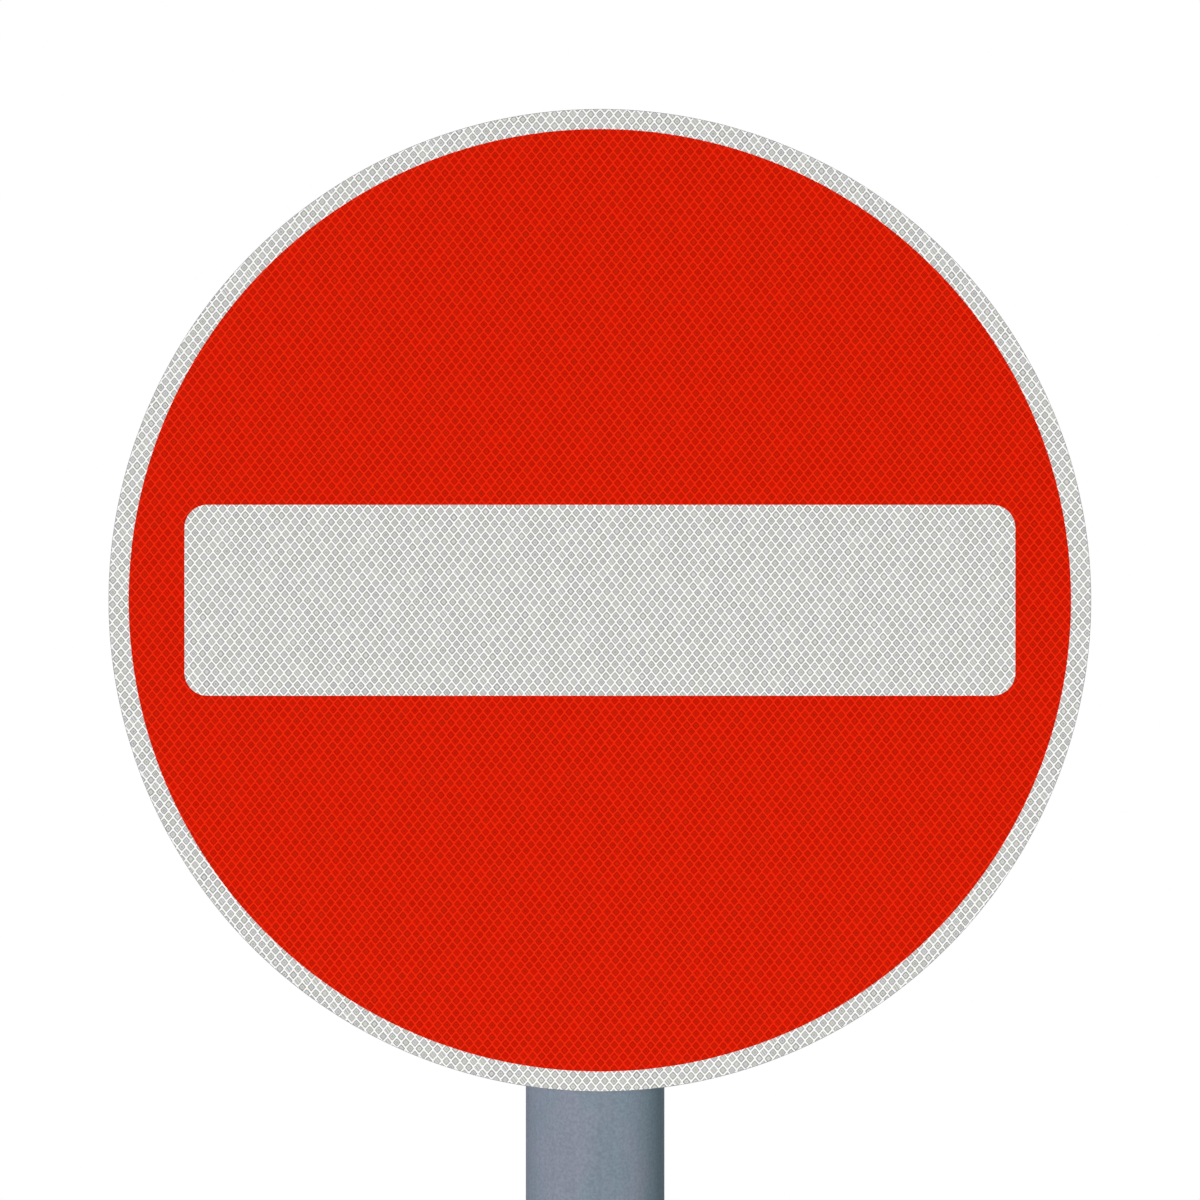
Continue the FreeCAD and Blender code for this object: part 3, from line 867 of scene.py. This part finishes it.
def cell_pattern(shading):
    """Sockets of the lattice: depth into the cell, distance across it, and three random numbers.

    The depth is less than 0 on the seal lines. Everything repeats after each tile of cells.
    """
    tiles = shading.node("ShaderNodeUVMap", uv_map=PATTERN_MAP).outputs["UV"]
    tile = {0: shading.vector("FRACTION", tiles), "Scale": TILE_CELLS}
    cells = shading.node("ShaderNodeVectorMath", tile, operation="SCALE").outputs[0]
    middle = shading.vector("ADD", shading.vector("FLOOR", cells), (0.5, 0.5, 0.5))
    inside = shading.coordinates(shading.vector("SUBTRACT", cells, middle))
    reach = []
    for operation, share in (("ADD", CELL_ACROSS), ("SUBTRACT", CELL_UP)):
        place = shading.math("ABSOLUTE", shading.math(operation, inside["X"], inside["Y"]))
        reach.append(shading.math("POWER", shading.math("DIVIDE", place, share), CELL_ROUNDING))
    outline = shading.math("POWER", shading.math("ADD", *reach), 1 / CELL_ROUNDING)
    depth = shading.math("SUBTRACT", 1, outline)
    white = shading.node("ShaderNodeTexWhiteNoise", {"Vector": middle}, noise_dimensions="3D")
    return depth, inside["X"], shading.channels(white.outputs["Color"])


def lattice_material(name, looks, **sockets):
    """Prismatic sheeting: pale seal lines round cells that differ a little from each other."""
    shading = Shading(name, **sockets)
    depth, across, random = cell_pattern(shading)
    line = shading.ramp(depth, looks["lap"] - looks["blur"], looks["lap"] + looks["blur"], 1, 0)

    # Rings round the middle of most cells, dark near their edge, and stripes across the others
    rate = shading.ramp(random["Red"], 0, 1, FULL_TURN * FEWEST_RINGS, FULL_TURN * MOST_RINGS)
    past_dark = shading.math("SUBTRACT", depth, DARK_RING)
    pale_rings = shading.math("COSINE", shading.math("MULTIPLY", rate, past_dark))
    rings = shading.math("MULTIPLY", pale_rings, -1)
    stripe_rate = FULL_TURN * STRIPES_IN_CELL
    stripes = shading.math("COSINE", shading.math("MULTIPLY_ADD", across, stripe_rate, rate))
    pattern = shading.blend(shading.ramp(random["Green"], *STRIPED_RANGE), rings, stripes)
    spare = shading.math("FRACT", shading.math("MULTIPLY", random["Red"], REDRAW))
    strength = shading.ramp(spare, *WAVE_RANGE, LEAST_WAVE * looks["wave"], looks["wave"])
    tone = shading.ramp(random["Green"], 0, 1, -looks["spread"], looks["spread"])
    level = shading.math("ADD", 1, shading.math("MULTIPLY_ADD", pattern, strength, tone))

    middle = shading.ramp(depth, *MIDDLE_RANGE)
    cell = shading.mix(middle, looks["cell_edge"], looks["cell_middle"])
    tint = shading.mix(random["Blue"], looks["tint_low"], looks["tint_high"])
    cell = shading.scaled(shading.mix(1, cell, tint, "MULTIPLY"), level)
    shading.shade("Base Color", shading.mix(line, cell, looks["line"]))
    shading.shade("Roughness", shading.math("MULTIPLY_ADD", line, LINE_ROUGHER, looks["roughness"]))
    return shading.material


# The post's coat: the greys on its left and right, and how fast one turns into the other, a metre
COAT_LEFT = srgb(134, 139, 153)
COAT_RIGHT = srgb(124, 139, 150)
HUE_RATE = 12
# How much paler or darker its streaks and its mottle get
STREAK_TONE = 0.03
MOTTLE_TONE = 0.12
# Painted light and shade across the post, set to match how the tube is lit. A paler, cooler left edge is
# a painted rim light, the paler band right of the middle is painted light, and the darker, cooler right
# edge is painted shade.
# Each band has two places in mm right of the middle, its share at each of them, and its colour.
POST_PAINTED_LIGHT = (
    (-40, -22, 1, 0, (1.05, 1.07, 1.09, 1)),
    (2, 20, 0, 1, (1.13, 1.11, 1.12, 1)),
    (28, 36, 0, 1, (0.9, 0.96, 0.95, 1)),
)
# Specks: how many a metre there is room for, where their edge begins and ends, the random number
# past which one shows, and how strongly it does
SPECKS_A_METRE = 110
SPECK_EDGE = (0.03, 0.08)
SPECK_CHANCE = 0.93
SPECK_STRENGTH = 0.5
SPECK_COLOUR = srgb(70, 76, 84)


def post_material():
    """Slate-grey coating over galvanised steel: mottled, faintly streaked, with a few specks, and
    painted light and shade across the tube.
    """
    shading = Shading("coated_steel", Specular_IOR_Level=0.1)
    clouds = shading.noise(scale=30, stretch=(1, 1, 0.6))
    streaks = shading.noise(scale=240, detail=2, roughness=0.5, stretch=(1, 1, 0.03))
    mottle = shading.noise(scale=620)
    side = shading.coordinates(shading.place())["X"]
    hue = shading.math("ADD", shading.math("MULTIPLY", side, HUE_RATE), shading.swing(clouds))
    colour = shading.mix(hue, COAT_LEFT, COAT_RIGHT)
    # Painted light and shade: each band lightens, darkens or cools the coat across the tube in place of
    # light falling on it.
    for low, high, start, end, tint in POST_PAINTED_LIGHT:
        share = shading.ramp(side, low * MM, high * MM, start, end)
        colour = shading.mix(share, colour, tint, "MULTIPLY")
    shade = shading.math("ADD", shading.swing(streaks, -STREAK_TONE, STREAK_TONE),
                         shading.swing(mottle, -MOTTLE_TONE, MOTTLE_TONE))
    colour = shading.scaled(colour, shading.math("ADD", 1, shade))
    specks = shading.spots(SPECKS_A_METRE)
    chance = shading.channels(specks["Color"])["Red"]
    speck = shading.math("MULTIPLY", shading.ramp(specks["Distance"], *SPECK_EDGE, 1, 0),
                         shading.math("GREATER_THAN", chance, SPECK_CHANCE))
    colour = shading.mix(shading.math("MULTIPLY", speck, SPECK_STRENGTH), colour, SPECK_COLOUR)
    shading.shade("Base Color", colour)
    shading.shade("Roughness", shading.swing(mottle, 0.7, 0.82))
    relief = shading.noise(scale=420, detail=4, stretch=(1, 1, 0.5))
    shading.bump(relief, distance=0.15 * MM, strength=0.3)
    return shading.material


# The fine lines of a metal brighten it by this share of what they darken it by.
LINE_GLINT = 0.3


def metal_material(name, colour, lines, scale, roughness, mark):
    """Bare metal with fine lines that run the way it was rolled, drawn or turned.

    Lines says how they are drawn out, and mark how much they darken the metal.
    """
    shading = Shading(name, Metallic=1)
    streaks = shading.noise(scale, detail=4, roughness=0.65, stretch=lines)
    smudges = shading.noise(scale=18)
    shade = shading.ramp(streaks, low=0.25, high=0.75, start=1 - mark, end=1 + mark * LINE_GLINT)
    level = shading.math("MULTIPLY", shade, shading.swing(smudges, start=0.96, end=1.02))
    shading.shade("Base Color", shading.scaled(colour, level))
    drawn = shading.swing(streaks, start=roughness + 0.06, end=roughness - 0.04)
    rubbed = shading.ramp(smudges, low=0.35, high=0.7, start=0, end=0.03)
    shading.shade("Roughness", shading.math("ADD", drawn, rubbed))
    shading.bump(streaks, distance=0.02 * MM, strength=0.6)
    return shading.material


def plastic_material(name, dark, pale, roughness, texture):
    """Moulded plastic with a fine eroded texture and a little unevenness."""
    shading = Shading(name, Specular_IOR_Level=0.5)
    clouds = shading.noise(scale=60)
    grain = shading.noise(scale=texture)
    worn = shading.ramp(grain, low=0.5, high=0.8, start=0, end=0.25)
    colour = shading.mix(shading.swing(clouds), dark, pale)
    shading.shade("Base Color", shading.mix(worn, colour, pale))
    shading.shade("Roughness", shading.swing(clouds, roughness - 0.05, roughness + 0.08))
    shading.bump(grain, distance=0.05 * MM, strength=0.5)
    return shading.material


def foam_material():
    """Closed-cell foam: dark, matt and finely pitted."""
    shading = Shading("foam", Roughness=0.9, Specular_IOR_Level=0.2)
    pores = shading.spots(scale=2600)["Distance"]
    clouds = shading.noise(scale=90, roughness=0.5)
    dust = shading.ramp(clouds, low=0.4, high=0.7, start=0, end=0.4)
    walls = shading.ramp(pores, low=0.1, high=0.5)
    colour = shading.mix(walls, srgb(38, 38, 40), srgb(72, 72, 75))
    shading.shade("Base Color", shading.mix(dust, colour, srgb(58, 58, 62)))
    shading.bump(pores, distance=0.2 * MM, strength=0.6)
    return shading.material


def dress_object():
    """Build every piece of the sign and give it its finish."""
    white = lattice_material("white_prismatic", WHITE_LOOKS, Specular_IOR_Level=0.2)
    red = lattice_material("red_prismatic", RED_LOOKS, Specular_IOR_Level=0.06)
    plate = metal_material("rolled_aluminium", srgb(176, 178, 181), lines=(0.03, 1, 1),
                           scale=1300, roughness=0.42, mark=0.12)
    rail = metal_material("extruded_aluminium", srgb(188, 190, 192), lines=(0.02, 1, 1),
                          scale=1100, roughness=0.36, mark=0.2)
    clip_metal = metal_material("sawn_aluminium", srgb(182, 183, 185), lines=(1, 1, 0.05),
                                scale=1100, roughness=0.38, mark=0.2)
    steel = metal_material("stainless_steel", srgb(170, 169, 166), lines=(1, 0.2, 1),
                           scale=1400, roughness=0.26, mark=0.2)
    nylon = plastic_material("natural_nylon", srgb(214, 213, 203), srgb(226, 225, 216),
                             roughness=0.42, texture=900)
    grey = plastic_material("grey_plastic", srgb(48, 50, 53), srgb(66, 68, 71),
                            roughness=0.52, texture=1400)
    foam = foam_material()

    make_sheeting(white)
    make_film(red)
    make_plate(plate)
    make_post(post_material())
    make_cap(grey)
    seeds = iter(range(len(LEVELS) * len(TAPE_ROWS)))
    for level in LEVELS:
        soften(f"{level}_rail", rail, RAIL_BREAK)
        soften(f"{level}_clip", clip_metal, CLIP_BREAK)
        for row in TAPE_ROWS:
            make_tape(f"{level}_rail_tape_{row}", foam, next(seeds))
        for side in SIDES:
            name = f"{level}_{side}"
            make_bolt(f"{name}_bolt", steel)
            make_washer(f"{name}_washer", steel)
            make_nut(f"{name}_nut", steel)
            make_nut_ring(f"{name}_nut_ring", nylon)


# The camera: it looks straight at the middle of the sign from in front.
VIEW_WIDTH = 732 * MM
CAMERA_DISTANCE = 1.2
FACE_Y = film_low.y
# How far right of the sign's centre and above it the camera looks
AIM_RIGHT = 0.08 * MM
AIM_UP = 0.17 * MM

# The light, at a level where a colour on the sign's face renders about as it is written
AMBIENT = 0.14
KEY_STRENGTH = 2.6
BACK_STRENGTH = 2.3
GLINT_STRENGTH = 0.5
# What reflections see straight in front of the sign, and the cosines of the angles from there
# between which the backdrop turns into it
FRONT_REFLECTION = 0.06
FRONT_RANGE = (0.5, 0.85)

# The floor, and how far out from its middle it has faded least, and by how much there
FLOOR_RADIUS = 3.5
FLOOR_COLOUR = (0.7, 0.7, 0.7, 1)
FADE_START = 1
LEAST_FADE = 0.5


def make_camera():
    """A camera whose frame is as wide at the sign's face as the photograph's."""
    camera = add_object("camera", bpy.data.cameras.new("camera"))
    camera.data.sensor_width = 36
    camera.data.lens = camera.data.sensor_width * CAMERA_DISTANCE / VIEW_WIDTH
    camera.location = (SIGN_X + AIM_RIGHT, FACE_Y - CAMERA_DISTANCE, SIGN_Z + AIM_UP)
    camera.rotation_euler = (math.pi / 2, 0, 0)
    camera.data.clip_start = 0.01
    bpy.context.scene.camera = camera


def make_sun(name, strength, azimuth, elevation, spread, in_reflections):
    """Soft, even light from one side, by angles in degrees: azimuth 0 is in front, 90 on the right."""
    lamp = bpy.data.lights.new(name, "SUN")
    lamp.energy = strength
    lamp.angle = math.radians(spread)
    light = add_object(name, lamp)
    side, rise = math.radians(azimuth), math.radians(elevation)
    source = Vector((math.sin(side) * math.cos(rise), -math.cos(side) * math.cos(rise), math.sin(rise)))
    light.rotation_euler = source.to_track_quat("Z", "Y").to_euler()
    light.visible_glossy = in_reflections


def make_world():
    """Soft light from all round, before a backdrop that the camera and reflections see as white.

    Reflections find it dim straight in front of the sign, where the reader stands.
    """
    world = bpy.data.worlds.new("studio")
    bpy.context.scene.world = world
    world.use_nodes = True
    world.node_tree.nodes.clear()
    studio = Nodes(world.node_tree)
    seen, reflected = studio.rays()
    direction = studio.node("ShaderNodeTexCoord").outputs["Generated"]
    forward = studio.node("ShaderNodeVectorMath", {0: direction, 1: (0, -1, 0)}, operation="DOT_PRODUCT")
    white = studio.ramp(forward.outputs["Value"], *FRONT_RANGE, 1, FRONT_REFLECTION)
    strength = studio.blend(seen, studio.blend(reflected, AMBIENT, white), 1)
    background = studio.node("ShaderNodeBackground", {"Color": (1, 1, 1, 1), "Strength": strength})
    studio.node("ShaderNodeOutputWorld", {"Surface": background.outputs[0]})


def make_floor():
    """A pale round floor that fades into the white backdrop, out of the front view."""
    points = circle(FLOOR_RADIUS, 0)
    mesh = bpy.data.meshes.new("floor")
    mesh.from_pydata(points, [], [tuple(range(len(points)))])
    floor = add_object("floor", mesh)
    shading = Shading("pale_floor", Base_Color=FLOOR_COLOUR, Roughness=0.8, Specular_IOR_Level=0.2)
    white = shading.node("ShaderNodeEmission").outputs[0]
    from_camera, reflected = shading.rays()
    seen = shading.math("MAXIMUM", from_camera, reflected)
    place = {0: shading.place()}
    far = shading.node("ShaderNodeVectorMath", place, operation="LENGTH").outputs["Value"]
    fade = shading.math("MULTIPLY", seen, shading.ramp(far, FADE_START, FLOOR_RADIUS, LEAST_FADE, 1))
    pale = shading.shader.outputs[0]
    surface = shading.node("ShaderNodeMixShader", {0: fade, 1: pale, 2: white}).outputs[0]
    shading.feed(shading.tree.nodes["Material Output"].inputs["Surface"], surface)
    mesh.materials.append(shading.material)


make_camera()
make_world()
make_sun("key_light", KEY_STRENGTH, azimuth=-16, elevation=6, spread=24, in_reflections=False)
make_sun("back_light", BACK_STRENGTH, azimuth=163, elevation=30, spread=24, in_reflections=False)
make_sun("glint_light", GLINT_STRENGTH, azimuth=170, elevation=38, spread=18, in_reflections=True)
make_floor()
dress_object()
bpy.context.scene.view_settings.view_transform = "Standard"
